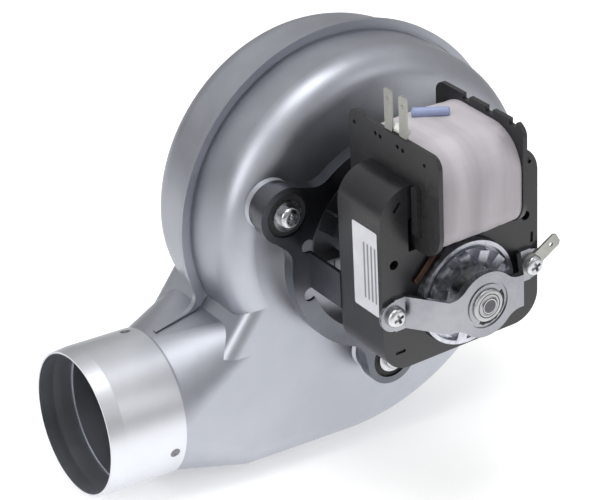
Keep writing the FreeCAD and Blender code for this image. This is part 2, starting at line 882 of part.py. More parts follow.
# Bearing bridges: a strap pressed into a channel, with two feet on the stack and a round
# middle that stands off and holds the bearing.
def strap_profile(thickness):
    # side view of the strap: foot, slope, raised middle, slope, foot
    end = bridge_foot_x + bridge_foot_radius
    foot = bridge_foot_x - bridge_foot_flat
    foot_y = stack_front_y - bridge_sheet
    front = [(-end, foot_y), (-foot, foot_y), (-bridge_step_x, bridge_disc_y),
             (bridge_step_x, bridge_disc_y), (foot, foot_y), (end, foot_y)]
    low = -2.0 * bridge_disc_radius
    corners = [V(x, y, low) for x, y in front]
    corners += [V(x, y + thickness, low) for x, y in reversed(front)]
    return Part.Face(Part.Wire(polygon(corners))).extrude(V(0, 0, -2.0 * low))


def strap_outline(grow):
    # front view of the strap: round middle, straight arms and round feet
    y0 = bridge_disc_y - past
    y1 = stack_front_y
    half = bridge_arm_half_width + grow
    body = rod(bridge_disc_radius + grow, y0, y1)
    body = body.fuse(box(-bridge_foot_x, bridge_foot_x, y0, y1, -half, half))
    for side in (-1.0, 1.0):
        body = body.fuse(rod(bridge_foot_radius + grow, y0, y1, side * bridge_foot_x))
    body = body.removeSplitter()
    necks = []
    for edge in body.Edges:
        reach = abs(edge.CenterOfMass.x)
        upright = edge.BoundBox.YLength > y1 - y0 - 0.01
        if upright and bridge_disc_radius / 3.0 < reach < bridge_disc_radius + grow:
            necks.append(edge)
    return body.makeFillet(bridge_blend - grow, necks)


def make_bridge():
    # built at the front of the stack; its feet lie on the stack's front face
    outline = strap_outline(0.0)
    skin = strap_profile(bridge_sheet).common(outline)
    reach = bridge_foot_x - bridge_foot_radius
    high = 2.0 * bridge_disc_radius
    wall = outline.cut(strap_outline(-bridge_sheet)).common(strap_profile(bridge_flange))
    wall = wall.common(box(-reach, reach, bridge_disc_y, stack_front_y - bridge_flange_gap,
                           -high, high))
    inner = bearing_radius + bearing_clearance
    seat_y = bridge_disc_y + bridge_sheet + socket_length
    body = skin.fuse(wall).cut(rod(inner, bridge_disc_y - past, seat_y))
    body = body.fuse(tube(bearing_radius + socket_wall, inner, bridge_disc_y, seat_y))
    body = body.cut(tube(bearing_groove, bearing_groove - groove_width, bridge_disc_y - past,
                         bridge_disc_y + groove_depth))
    for side in (-1.0, 1.0):
        body = body.cut(rod(bridge_screw_radius + thread_clearance,
                            stack_front_y - bridge_sheet - past, stack_front_y + past,
                            side * bridge_foot_x))
    return body.removeSplitter()


def to_rear(shape, shift):
    # the same piece, turned to face the casing at the back of the stack
    copy = shape.copy()
    copy.rotate(V(0, stack_middle_y, 0), V(0, 0, 1), 180.0)
    copy.translate(V(0, shift, 0))
    return copy


def make_rear_bridge(bridge):
    # its feet are cut off straight where they sit between the bracket's legs
    reach = leg_x - bracket_sheet - leg_clearance
    rear = to_rear(bridge, bracket_sheet)
    return rear.common(box(-reach, reach, stack_front_y, 0.0, -reach, reach))


def make_bearing():
    body = tube(bearing_radius, shaft_radius + bearing_clearance, bearing_front_y,
                bearing_front_y + bearing_length)
    rims = [edge for edge in body.Edges
            if edge.BoundBox.YLength < 0.01 and edge.BoundBox.XLength > 2.0 * shaft_radius + past]
    return body.makeFillet(bearing_rounding, rims)


def make_retainer():
    # spring washer with claws, pushed over the bearing against the socket's end
    seat = bridge_disc_y + bridge_sheet + socket_length
    body = tube(bearing_groove, bearing_radius + bearing_clearance, seat, seat + retainer_sheet)
    slot = box(bearing_radius - past, bearing_radius + retainer_slot_reach, seat - past,
               seat + retainer_sheet + past, -retainer_slot_half_width, retainer_slot_half_width)
    for turn in spread(retainer_slots):
        body = body.cut(turned(slot, turn))
    return body


def make_bridge_screw(side):
    # the right one also clamps the earth tab
    under = stack_front_y - bridge_sheet
    if side > 0:
        under -= tab_sheet
    tip = stack_back_y + bracket_sheet + bridge_sheet + nut_height + bridge_screw_end
    return pan_screw(side * bridge_foot_x, 0.0, under, tip, bridge_screw_radius,
                     bridge_head_radius, bridge_head_height)


def make_bridge_nut(side):
    seat = stack_back_y + bracket_sheet + bridge_sheet
    nut = hexagon(nut_across_flats, seat, seat + nut_height, side * bridge_foot_x)
    return nut.cut(rod(bridge_screw_radius, seat, seat + nut_height, side * bridge_foot_x))


def make_earth_tab():
    y1 = stack_front_y - bridge_sheet
    y0 = y1 - tab_sheet
    blade = box(0.0, tab_length, y0, y1, -tab_width / 2.0, tab_width / 2.0)
    tips = [edge for edge in blade.Edges
            if edge.BoundBox.YLength > tab_sheet / 2.0 and edge.CenterOfMass.x > tab_length - 0.01]
    blade = blade.makeChamfer(tab_bevel, tips)
    body = blade.fuse(rod(bridge_head_radius + tab_margin, y0, y1))
    body = body.cut(rod(bridge_screw_radius + thread_clearance, y0, y1))
    body = body.cut(rod(tab_hole, y0, y1, tab_length - tab_hole_inset))
    body = turned(body.removeSplitter(), tab_turn)
    body.translate(V(bridge_foot_x, 0, 0))
    return body


# Rotor: laminated core with cast aluminium ends, on the shaft.
def make_rotor_core():
    return tube(rotor_radius, shaft_radius, stack_front_y, stack_back_y)


def make_rotor_end():
    # cast ring with a groove near its rim, a stepped eye and a circle of short fins
    y1 = stack_front_y
    y0 = y1 - end_ring_height
    eye = shaft_radius + end_ring_step
    body = tube(rotor_radius, eye, y0, y1)
    groove = rotor_radius - end_rim
    body = body.cut(tube(groove, groove - end_groove, y0, y0 + end_groove_depth))
    body = body.cut(tube(end_ring_bore, eye, y0, y0 + end_ring_step))
    fin = box(fin_tip - fin_length, fin_tip, y0 - fin_height, y0, -fin_width / 2.0,
              fin_width / 2.0)
    for turn in spread(fin_count, 180.0 / fin_count):
        body = body.fuse(turned(fin, turn))
    return body.removeSplitter()


def make_shaft():
    body = rod(shaft_radius, bearing_front_y - shaft_stand, wheel_nut_y + wheel_nut_height
               + shaft_end)
    ends = [edge for edge in body.Edges if edge.BoundBox.YLength < 0.01]
    return body.makeChamfer(shaft_bevel, ends)


def make_cooling_fan():
    # pressed disc whose blades are cut out of it and bent up towards the motor
    y1 = cooling_disc_y
    y0 = y1 - cooling_sheet
    body = tube(cooling_radius, shaft_radius, y0, y1)
    body = body.fuse(tube(cooling_hub_radius, shaft_radius, y1 - cooling_hub_length, y1))
    root = cooling_radius - cooling_blade_length
    blade = box(root, cooling_radius, y0 - cooling_blade_height, y0, 0.0, cooling_sheet)
    blade = blade.common(rod(cooling_radius, y0 - cooling_blade_height, y0))
    gap = box(root, cooling_radius, y0 - past, y1 + past, cooling_sheet,
              cooling_sheet + cooling_blade_height)
    gap = gap.common(rod(cooling_radius - cooling_rim, y0 - past, y1 + past))
    for turn in spread(cooling_blade_count):
        body = body.cut(turned(gap, turn)).fuse(turned(blade, turn))
    return body.removeSplitter()


# Blade wheel: backing disc, leaning blades, inlet ring, hub and nut.
def make_wheel_disc():
    return tube(wheel_radius, shaft_radius, wheel_disc_y, hub_y)


def make_wheel_ring():
    return tube(wheel_radius, wheel_eye_radius, wheel_ring_y - wheel_sheet, wheel_ring_y)


def make_wheel_blade(turn):
    # thin curved blade that stands between the disc and the ring
    y0 = hub_y
    root = polar(blade_root, 0.0, y0)
    tip = polar(wheel_radius - blade_tip_inset, blade_lean, y0)
    across = V(root.z - tip.z, 0, tip.x - root.x).normalize()
    bend = (root + tip) * 0.5 + across * blade_bend
    thick = across * wheel_sheet
    edges = [arc(root, bend, tip), line(tip, tip + thick),
             arc(tip + thick, bend + thick, root + thick), line(root + thick, root)]
    return turned(prism(edges, y0, wheel_ring_y - wheel_sheet), turn)


def make_wheel_hub():
    return tube(hub_radius, shaft_radius, hub_y, wheel_nut_y)


def make_wheel_nut():
    nut = hexagon(wheel_nut_flats, wheel_nut_y, wheel_nut_y + wheel_nut_height)
    return nut.cut(rod(shaft_radius, wheel_nut_y, wheel_nut_y + wheel_nut_height))


def motor(shape):
    return turned(shape, motor_turn)


def main():
    os.makedirs("parts", exist_ok=True)
    rear, front = make_shells()
    collar = make_collar()
    save("rear_shell", rivet_holes(rear))
    save("front_shell", rivet_holes(front))
    save("outlet_collar", rivet_holes(collar))
    save("collar_rivets", Part.makeCompound(make_collar_rivets()))

    save("motor_bracket", motor(make_bracket()))
    places = ear_places()
    grommets = [make_grommet(p.x, p.z) for p in places]
    washers = [make_mount_washer(p.x, p.z) for p in places]
    screws = [make_mount_screw(p.x, p.z) for p in places]
    save("bracket_grommets", motor(Part.makeCompound(grommets)))
    save("grommet_washers", motor(Part.makeCompound(washers)))
    save("bracket_screws", motor(Part.makeCompound(screws)))

    save("stator_stack", motor(make_stack()))
    save("stator_limb", motor(make_limb()))
    rings = [make_shading_ring(start, end) for start, end in ring_places()]
    save("shading_rings", motor(Part.makeCompound(rings)))
    save("coil_bobbin", motor(make_bobbin()))
    save("coil_winding", motor(make_winding()))
    save("coil_tape", motor(make_tape()))
    terminals = [make_terminal(centre) for centre in terminal_places()]
    save("coil_terminals", motor(Part.makeCompound(terminals)))
    save("lead_sleeve", motor(make_lead_sleeve()))
    save("thermal_link", motor(make_thermal_link()))

    bridge = make_bridge()
    bearing = make_bearing()
    retainer = make_retainer()
    save("front_bridge", motor(bridge))
    save("rear_bridge", motor(make_rear_bridge(bridge)))
    save("front_bearing", motor(bearing))
    save("rear_bearing", motor(to_rear(bearing, bracket_sheet)))
    save("front_bearing_retainer", motor(retainer))
    save("rear_bearing_retainer", motor(to_rear(retainer, bracket_sheet)))
    sides = (-1.0, 1.0)
    save("bridge_screws", motor(Part.makeCompound([make_bridge_screw(s) for s in sides])))
    save("bridge_nuts", motor(Part.makeCompound([make_bridge_nut(s) for s in sides])))
    save("earth_tab", motor(make_earth_tab()))

    save("rotor_shaft", make_shaft())
    save("rotor_core", make_rotor_core())
    end = make_rotor_end()
    save("rotor_end_front", end)
    save("rotor_end_rear", to_rear(end, 0.0))
    save("cooling_fan", make_cooling_fan())
    save("wheel_disc", make_wheel_disc())
    save("wheel_ring", make_wheel_ring())
    blades = [make_wheel_blade(turn) for turn in spread(blade_count)]
    save("wheel_blades", Part.makeCompound(blades))
    save("wheel_hub", make_wheel_hub())
    save("wheel_nut", make_wheel_nut())


main()
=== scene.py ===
import bmesh
import bpy
import math
from mathutils import Matrix, Vector, noise


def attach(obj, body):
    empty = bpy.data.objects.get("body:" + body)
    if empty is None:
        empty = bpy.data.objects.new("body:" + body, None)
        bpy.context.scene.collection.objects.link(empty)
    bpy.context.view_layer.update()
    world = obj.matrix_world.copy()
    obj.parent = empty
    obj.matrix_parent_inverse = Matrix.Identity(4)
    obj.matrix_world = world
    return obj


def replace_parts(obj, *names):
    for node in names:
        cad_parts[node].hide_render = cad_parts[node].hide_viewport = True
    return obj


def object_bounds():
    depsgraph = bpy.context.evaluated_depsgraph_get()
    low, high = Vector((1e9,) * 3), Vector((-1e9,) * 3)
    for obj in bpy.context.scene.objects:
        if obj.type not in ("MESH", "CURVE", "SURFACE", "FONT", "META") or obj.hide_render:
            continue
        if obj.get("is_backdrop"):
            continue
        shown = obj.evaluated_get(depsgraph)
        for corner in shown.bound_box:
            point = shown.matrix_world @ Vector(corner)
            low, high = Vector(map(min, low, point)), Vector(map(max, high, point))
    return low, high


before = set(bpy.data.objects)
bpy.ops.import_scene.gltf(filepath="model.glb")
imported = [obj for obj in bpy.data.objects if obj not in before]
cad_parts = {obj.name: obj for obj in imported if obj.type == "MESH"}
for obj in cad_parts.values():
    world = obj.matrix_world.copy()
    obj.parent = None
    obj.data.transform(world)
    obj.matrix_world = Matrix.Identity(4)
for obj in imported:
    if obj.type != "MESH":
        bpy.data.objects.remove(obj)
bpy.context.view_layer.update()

# Camera in front of the fan on its outlet side, looking down at it, with a long lens as in a
# catalogue picture. Its place is in metres in the fan's own frame.
camera_turn = math.radians(-33.96)
camera_height = math.radians(26.98)
camera_roll = math.radians(0.25)
camera_distance = 0.97426
camera_aim = Vector((-0.03275, -0.06, -0.00166))
camera_data = bpy.data.cameras.new("catalogue_camera")
camera_data.sensor_width = 36.0
camera_data.lens = 144.0
camera_data.clip_start = 0.05
camera_data.clip_end = 20.0
camera = bpy.data.objects.new("catalogue_camera", camera_data)
bpy.context.collection.objects.link(camera)
camera_back = Vector((math.sin(camera_turn) * math.cos(camera_height),
                      -math.cos(camera_turn) * math.cos(camera_height),
                      math.sin(camera_height)))
camera_right = Vector((math.cos(camera_turn), math.sin(camera_turn), 0.0))
camera_up = camera_back.cross(camera_right)
rolled_right = camera_right * math.cos(camera_roll) + camera_up * math.sin(camera_roll)
rolled_up = camera_up * math.cos(camera_roll) - camera_right * math.sin(camera_roll)
camera.matrix_world = Matrix.Translation(camera_aim + camera_back * camera_distance) @ Matrix(
    (rolled_right, rolled_up, camera_back)).transposed().to_4x4()
bpy.context.scene.camera = camera
bpy.context.scene.view_settings.view_transform = "Standard"

# White paper table under the fan, in a light tent. The paper is seen white but keeps a soft
# shadow, and polished metal reflects the same white;
# in front of the fan the paper also shows a painted pool of light that glows only in reflections.
white = (1.0, 1.0, 1.0, 1.0)
table_reach = 1.6
table_gap = 0.0005
# painted pool of light on the paper in front of the fan, seen only in reflections
pool_middle = (0.03, -0.16)
pool_edges = (0.08, 0.36)
painted_pool_glow = (0.70, 0.12)
seen_glow = 0.35


def new_material(name):
    material = bpy.data.materials.new(name)
    material.use_nodes = True
    nodes = material.node_tree.nodes
    return material, nodes, material.node_tree.links, nodes["Principled BSDF"]


def object_place(nodes):
    return nodes.new("ShaderNodeTexCoord").outputs["Object"]


def noise_at(nodes, links, place, scale, detail):
    texture = nodes.new("ShaderNodeTexNoise")
    texture.inputs["Scale"].default_value = scale
    texture.inputs["Detail"].default_value = detail
    links.new(place, texture.inputs["Vector"])
    return texture.outputs["Fac"]


def distance_from(nodes, links, place, point):
    reach = nodes.new("ShaderNodeVectorMath")
    reach.operation = "DISTANCE"
    reach.inputs[1].default_value = point
    links.new(place, reach.inputs[0])
    return reach.outputs["Value"]


def product_of(nodes, links, first, second):
    times = nodes.new("ShaderNodeMath")
    times.operation = "MULTIPLY"
    links.new(first, times.inputs[0])
    links.new(second, times.inputs[1])
    return times.outputs["Value"]


def scaled_sum(nodes, links, value, factor, addend):
    # a value times a fixed factor, plus a second value
    total = nodes.new("ShaderNodeMath")
    total.operation = "MULTIPLY_ADD"
    total.inputs[1].default_value = factor
    links.new(value, total.inputs[0])
    links.new(addend, total.inputs[2])
    return total.outputs["Value"]


def value_between(nodes, links, mask, low, high, first, second, easing="LINEAR"):
    # the first value where the mask is low, the second where it is high
    spread = nodes.new("ShaderNodeMapRange")
    spread.interpolation_type = easing
    spread.inputs["From Min"].default_value = low
    spread.inputs["From Max"].default_value = high
    spread.inputs["To Min"].default_value = first
    spread.inputs["To Max"].default_value = second
    links.new(mask, spread.inputs["Value"])
    return spread.outputs["Result"]


def paper_finish(low):
    material, nodes, links, surface = new_material("white_paper")
    surface.inputs["Roughness"].default_value = 0.85
    surface.inputs["Specular IOR Level"].default_value = 0.1
    surface.inputs["Emission Color"].default_value = white
    place = object_place(nodes)
    fibre = noise_at(nodes, links, place, 60.0, 4.0)
    links.new(value_between(nodes, links, fibre, 0.0, 1.0, 0.90, 0.94),
              surface.inputs["Base Color"])
    # seen straight on, the paper is lifted to white and keeps a pale shadow; in front of the fan
    # a painted pool of light glows that only glossy rays see, a painted reflection that polished
    # metal mirrors
    seen = nodes.new("ShaderNodeLightPath")
    reach = distance_from(nodes, links, place, (*pool_middle, low))
    pool = value_between(nodes, links, reach, *pool_edges, *painted_pool_glow, easing="SMOOTHSTEP")
    painted_reflection = product_of(nodes, links, pool, seen.outputs["Is Glossy Ray"])
    lift = scaled_sum(nodes, links, seen.outputs["Is Camera Ray"], seen_glow, painted_reflection)
    links.new(lift, surface.inputs["Emission Strength"])
    return material


def white_table():
    shape = bmesh.new()
    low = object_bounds()[0].z - table_gap
    bmesh.ops.create_grid(shape, x_segments=1, y_segments=1, size=table_reach,
                          matrix=Matrix.Translation((0.0, 0.0, low)))
    mesh = bpy.data.meshes.new("white_table")
    shape.to_mesh(mesh)
    shape.free()
    mesh.materials.append(paper_finish(low))
    table = bpy.data.objects.new("white_table", mesh)
    bpy.context.collection.objects.link(table)
    table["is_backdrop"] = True


white_table()

# Light tent: a large soft lamp above and behind, one at the left that models the scroll's
# shoulder, and a weaker one at the right front. The tent itself is brighter overhead than near
# the table, and plain white where the camera sees it.
tent_height = (0.0, 0.9)
tent_glow = (0.30, 0.85)
lamp_aim = Vector((-0.02, -0.06, -0.01))
world = bpy.data.worlds.new("light_tent")
world.use_nodes = True
bpy.context.scene.world = world
tent_nodes = world.node_tree.nodes
tent_links = world.node_tree.links
tent_light = tent_nodes["Background"]
tent_light.inputs["Color"].default_value = white
tent_place = tent_nodes.new("ShaderNodeTexCoord")
tent_axes = tent_nodes.new("ShaderNodeSeparateXYZ")
tent_links.new(tent_place.outputs["Generated"], tent_axes.inputs["Vector"])
tent_links.new(value_between(tent_nodes, tent_links, tent_axes.outputs["Z"], *tent_height,
                             *tent_glow), tent_light.inputs["Strength"])
tent_white = tent_nodes.new("ShaderNodeBackground")
tent_white.inputs["Color"].default_value = white
tent_white.inputs["Strength"].default_value = 1.0
tent_seen = tent_nodes.new("ShaderNodeLightPath")
tent_mix = tent_nodes.new("ShaderNodeMixShader")
tent_links.new(tent_seen.outputs["Is Camera Ray"], tent_mix.inputs["Fac"])
tent_links.new(tent_light.outputs["Background"], tent_mix.inputs[1])
tent_links.new(tent_white.outputs["Background"], tent_mix.inputs[2])
tent_links.new(tent_mix.outputs["Shader"], tent_nodes["World Output"].inputs["Surface"])


def soft_lamp(name, place, size, power):
    lamp_data = bpy.data.lights.new(name, "AREA")
    lamp_data.shape = "RECTANGLE"
    lamp_data.size = size[0]
    lamp_data.size_y = size[1]
    lamp_data.energy = power
    lamp = bpy.data.objects.new(name, lamp_data)
    bpy.context.collection.objects.link(lamp)
    direction = lamp_aim - Vector(place)
    lamp.matrix_world = Matrix.Translation(place) @ direction.to_track_quat(
        "-Z", "Y").to_matrix().to_4x4()


soft_lamp("top_lamp", (-0.15, -0.15, 0.95), (0.55, 0.55), 3.6)
soft_lamp("left_lamp", (-0.95, -0.15, 0.40), (0.35, 0.6), 3.0)
soft_lamp("front_lamp", (0.55, -0.95, 0.55), (0.4, 0.5), 1.0)

# Casing: two halves drawn from aluminised steel sheet, the rear one hemmed over the front
# one's flange. The coating is satin, a little cloudy from handling, with fine draw marks. The
# node group with these clouds and scratches serves the fan's other metal pieces too.
cloud_band = (0.35, 0.65)
grain_band = (0.3, 0.7)
full_band = (0.0, 1.0)


def make_handled_sheet():
    group = bpy.data.node_groups.new("handled_sheet", "ShaderNodeTree")
    for label in ("Cloud Scale", "Scratch Scale"):
        group.interface.new_socket(label, in_out="INPUT", socket_type="NodeSocketFloat")
    for label in ("Cloud", "Scratch"):
        group.interface.new_socket(label, in_out="OUTPUT", socket_type="NodeSocketFloat")
    nodes = group.nodes
    links = group.links
    entry = nodes.new("NodeGroupInput")
    result = nodes.new("NodeGroupOutput")
    place = object_place(nodes)
    cloud = nodes.new("ShaderNodeTexNoise")
    cloud.inputs["Detail"].default_value = 4.0
    cloud.inputs["Roughness"].default_value = 0.6
    links.new(place, cloud.inputs["Vector"])
    links.new(entry.outputs["Cloud Scale"], cloud.inputs["Scale"])
    links.new(cloud.outputs["Fac"], result.inputs["Cloud"])
    # scratches are noise drawn out along one slanting direction
    stretch = nodes.new("ShaderNodeMapping")
    stretch.inputs["Rotation"].default_value = (0.3, 0.5, 0.9)
    stretch.inputs["Scale"].default_value = (1.0, 0.06, 0.4)
    links.new(place, stretch.inputs["Vector"])
    scratch = nodes.new("ShaderNodeTexNoise")
    scratch.inputs["Detail"].default_value = 3.0
    links.new(stretch.outputs["Vector"], scratch.inputs["Vector"])
    links.new(entry.outputs["Scratch Scale"], scratch.inputs["Scale"])
    links.new(scratch.outputs["Fac"], result.inputs["Scratch"])
    return group


def handled(nodes, cloud_scale, scratch_scale):
    effect = nodes.new("ShaderNodeGroup")
    effect.node_tree = handled_sheet
    effect.inputs["Cloud Scale"].default_value = cloud_scale
    effect.inputs["Scratch Scale"].default_value = scratch_scale
    return effect.outputs["Cloud"], effect.outputs["Scratch"]


def colour_between(nodes, links, mask, low, high, first, second):
    # the first colour where the mask is low, the second where it is high; each is fixed or
    # comes from another node
    spread = value_between(nodes, links, mask, low, high, 0.0, 1.0)
    mix = nodes.new("ShaderNodeMix")
    mix.data_type = "RGBA"
    links.new(spread, mix.inputs["Factor"])
    for socket, colour in (("A", first), ("B", second)):
        if isinstance(colour, tuple):
            mix.inputs[socket].default_value = (*colour, 1.0)
        else:
            links.new(colour, mix.inputs[socket])
    return mix.outputs["Result"]


def bump_from(nodes, links, surface, height, depth, strength=1.0):
    bump = nodes.new("ShaderNodeBump")
    bump.inputs["Strength"].default_value = strength
    bump.inputs["Distance"].default_value = depth
    links.new(height, bump.inputs["Height"])
    links.new(bump.outputs["Normal"], surface.inputs["Normal"])


def sheet_finish(name, dark, light, rough_low, rough_high, cloud_scale=16.0, scratch_scale=240.0,
                 scratch_depth=0.00001, waviness=0.0):
    material, nodes, links, surface = new_material(name)
    cloud, scratch = handled(nodes, cloud_scale, scratch_scale)
    links.new(colour_between(nodes, links, cloud, *cloud_band, dark, light),
              surface.inputs["Base Color"])
    links.new(value_between(nodes, links, cloud, *cloud_band, rough_low, rough_high),
              surface.inputs["Roughness"])
    surface.inputs["Metallic"].default_value = 1.0
    height = scaled_sum(nodes, links, cloud, waviness, scratch)
    bump_from(nodes, links, surface, height, scratch_depth)
    return material


def dress(material, *names):
    for name in names:
        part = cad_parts[name]
        part.data.materials.clear()
        part.data.materials.append(material)


handled_sheet = make_handled_sheet()
casing_sheet = sheet_finish("aluminised_sheet", (0.36, 0.375, 0.415), (0.45, 0.465, 0.51),
                            0.40, 0.50, waviness=30.0)
dress(casing_sheet, "rear_shell", "front_shell")

# Outlet collar: a rolled and welded sleeve pushed over the casing's neck and held by three
# rivets. Its skin is brighter than the casing's, partly its own tone and partly painted light for
# the light that falls on the collar.
collar_tone_and_painted_light = sheet_finish("rolled_sheet", (0.58, 0.595, 0.63), (0.68, 0.695, 0.73), 0.36, 0.46,
                            12.0, 300.0)
dress(collar_tone_and_painted_light, "outlet_collar")
rivet_finish = sheet_finish("rivet_steel", (0.16, 0.16, 0.17), (0.30, 0.30, 0.32), 0.28, 0.4)
dress(rivet_finish, "collar_rivets")

# Motor bracket: pressed from zinc-plated sheet, with its rim folded back and three drawn cups
# for the rubber mountings. Two legs carry the motor's stack. Its zinc is painted far darker than
# plated steel, as painted shade for the shade that lies on it between the motor and the casing.
shaded_bracket_zinc = sheet_finish("shaded_bracket_zinc", (0.075, 0.08, 0.09), (0.15, 0.155, 0.175), 0.24, 0.36)
dress(shaded_bracket_zinc, "motor_bracket")


# Rubber mountings: black moulded buttons, pushed into the bracket's cups, that hold it off the
# casing. Their skin is matt and finely grained, as rubber comes out of its mould.
def dull_finish(name, dark, light, rough_low, rough_high, scale, depth):
    material, nodes, links, surface = new_material(name)
    grain = noise_at(nodes, links, object_place(nodes), scale, 5.0)
    links.new(colour_between(nodes, links, grain, *grain_band, dark, light),
              surface.inputs["Base Color"])
    links.new(value_between(nodes, links, grain, *grain_band, rough_low, rough_high),
              surface.inputs["Roughness"])
    bump_from(nodes, links, surface, grain, depth)
    return material


grommet_rubber = dull_finish("mounting_rubber", (0.012, 0.012, 0.013), (0.03, 0.03, 0.032),
                             0.55, 0.75, 700.0, 0.00003)
dress(grommet_rubber, "bracket_grommets")

# Washers, screws and nuts of the mountings, the bridges and the blade wheel: bought steel
# pieces, stamped or headed, with bright zinc plating.
bright_zinc = sheet_finish("bright_zinc", (0.42, 0.425, 0.44), (0.56, 0.565, 0.58), 0.20, 0.34,
                           160.0, 900.0)
dress(bright_zinc, "grommet_washers", "bracket_screws", "bridge_screws", "bridge_nuts",
      "wheel_nut")

# Stator stack and its top limb: punched laminations pressed together and dipped in black
# lacquer. The lacquer fills the joints, so only faint lines show on the edges.
lamination_scale = 314.0


def stack_finish():
    material, nodes, links, surface = new_material("stack_lacquer")
    cloud, _ = handled(nodes, 30.0, 300.0)
    links.new(colour_between(nodes, links, cloud, *cloud_band, (0.010, 0.010, 0.012),
                             (0.020, 0.020, 0.024)), surface.inputs["Base Color"])
    links.new(value_between(nodes, links, cloud, *cloud_band, 0.26, 0.40),
              surface.inputs["Roughness"])
    layers = nodes.new("ShaderNodeTexWave")
    layers.bands_direction = "Y"
    layers.inputs["Scale"].default_value = lamination_scale
    layers.inputs["Distortion"].default_value = 0.6
    layers.inputs["Detail"].default_value = 1.0
    links.new(object_place(nodes), layers.inputs["Vector"])
    bump_from(nodes, links, surface, layers.outputs["Fac"], 0.00003, 0.5)
    return material


dress(stack_finish(), "stator_stack", "stator_limb")

# Rating label: white polyester film stuck on the stack's left side, with rounded corners. Plain
# grey bars along its height stand where the real one is printed.
motor_turn = Matrix.Rotation(math.radians(-3.5), 3, "Y")
label_size = (0.00012, 0.0162, 0.0368)
label_middle = (-0.03806, -0.11465, 0.0176)
label_corner = 0.0009
bar_period = 0.0012
bar_flank = (0.00055, 0.00075)
bars_foot = (0.0020, 0.0025)
bars_top = (0.0265, 0.0270)
bars_side = (-0.1130, -0.1125)


def label_film():
    material, nodes, links, surface = new_material("label_film")
    cloud, scratch = handled(nodes, 90.0, 500.0)
    film = colour_between(nodes, links, cloud, *grain_band, (0.60, 0.60, 0.64),
                          (0.72, 0.72, 0.76))
    axes = nodes.new("ShaderNodeSeparateXYZ")
    links.new(object_place(nodes), axes.inputs["Vector"])
    row = nodes.new("ShaderNodeMath")
    row.operation = "PINGPONG"
    row.inputs[1].default_value = bar_period
    links.new(axes.outputs["Y"], row.inputs[0])
    bars = value_between(nodes, links, row.outputs["Value"], *bar_flank, 0.0, 1.0)
    for axis, limit, inside, outside in (("Z", bars_top, 1.0, 0.0), ("Z", bars_foot, 0.0, 1.0),
                                         ("Y", bars_side, 1.0, 0.0)):
        window = value_between(nodes, links, axes.outputs[axis], *limit, inside, outside)
        bars = product_of(nodes, links, bars, window)
    links.new(colour_between(nodes, links, bars, *full_band, film, (0.22, 0.22, 0.24)),
              surface.inputs["Base Color"])
    links.new(value_between(nodes, links, cloud, *grain_band, 0.30, 0.42),
              surface.inputs["Roughness"])
    bump_from(nodes, links, surface, scratch, 0.000005)
    return material


def round_edges(shape, edges, radius, segments):
    bmesh.ops.bevel(shape, geom=edges, offset=radius, offset_type="OFFSET", segments=segments,
                    profile=0.5, affect="EDGES", material=-1)


def edges_along_x(shape, shortest):
    return [edge for edge in shape.edges
            if abs(edge.verts[0].co.x - edge.verts[1].co.x) > shortest]


def new_piece(name, shape, material, smooth=True):
    # a piece of the motor, which sits a little askew about the shaft
    bmesh.ops.rotate(shape, cent=(0.0, 0.0, 0.0), matrix=motor_turn, verts=shape.verts)
    mesh = bpy.data.meshes.new(name)
    shape.to_mesh(mesh)
    shape.free()
    if smooth:
        mesh.shade_smooth()
    mesh.materials.append(material)
    piece = bpy.data.objects.new(name, mesh)
    bpy.context.collection.objects.link(piece)
    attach(piece, "casing")
    return piece


def rating_label():
    shape = bmesh.new()
    bmesh.ops.create_cube(shape, size=1.0)
    bmesh.ops.scale(shape, vec=label_size, verts=shape.verts)
    round_edges(shape, edges_along_x(shape, 0.0001), label_corner, 4)
    bmesh.ops.translate(shape, vec=label_middle, verts=shape.verts)
    return new_piece("rating_label", shape, label_film(), smooth=False)


rating_label()

# Shading rings: two closed loops of bare copper bar let into the poles. The lacquer that the
# stack was dipped in has dulled them to a dark brown.
shading_copper = sheet_finish("shading_copper", (0.035, 0.022, 0.018), (0.08, 0.045, 0.032),
                              0.4, 0.55, 200.0, 600.0)
dress(shading_copper, "shading_rings")

# Bobbin: moulded in black nylon, slightly grained, and slipped over the stack's limb. Its two
# flanges hold the winding between them.
bobbin_nylon = dull_finish("bobbin_nylon", (0.010, 0.010, 0.011), (0.022, 0.022, 0.024),
                           0.38, 0.5, 500.0, 0.00002)
dress(bobbin_nylon, "coil_bobbin")

# Winding: enamelled copper wire wound on the bobbin. It lies wholly under the tape, so little
# more than its colour matters.
winding_enamel = sheet_finish("winding_enamel", (0.30, 0.12, 0.05), (0.42, 0.18, 0.08), 0.3, 0.4)
dress(winding_enamel, "coil_winding")

# Tape: one layer of woven tape with impregnating lacquer, wound round the coil. Its turns lie
# side by side along the coil and leave soft ridges; the front upper corner is smudged.
coil_middle = Vector((0.0, -0.111, 0.0460))
tape_size = Vector((0.0398, 0.0538, 0.0398))
tape_upper_corner = 0.0167
tape_lower_corner = 0.0095
tape_sheet = 0.0004
tape_crown = 0.0005
ridge_height = 0.00030
lump_height = 0.00018
ridge_scale = Vector((300.0, 26.0, 26.0))
lump_scale = 110.0
smudge_place = (0.0185, -0.127, 0.060)
smudge_edges = (0.002, 0.013)


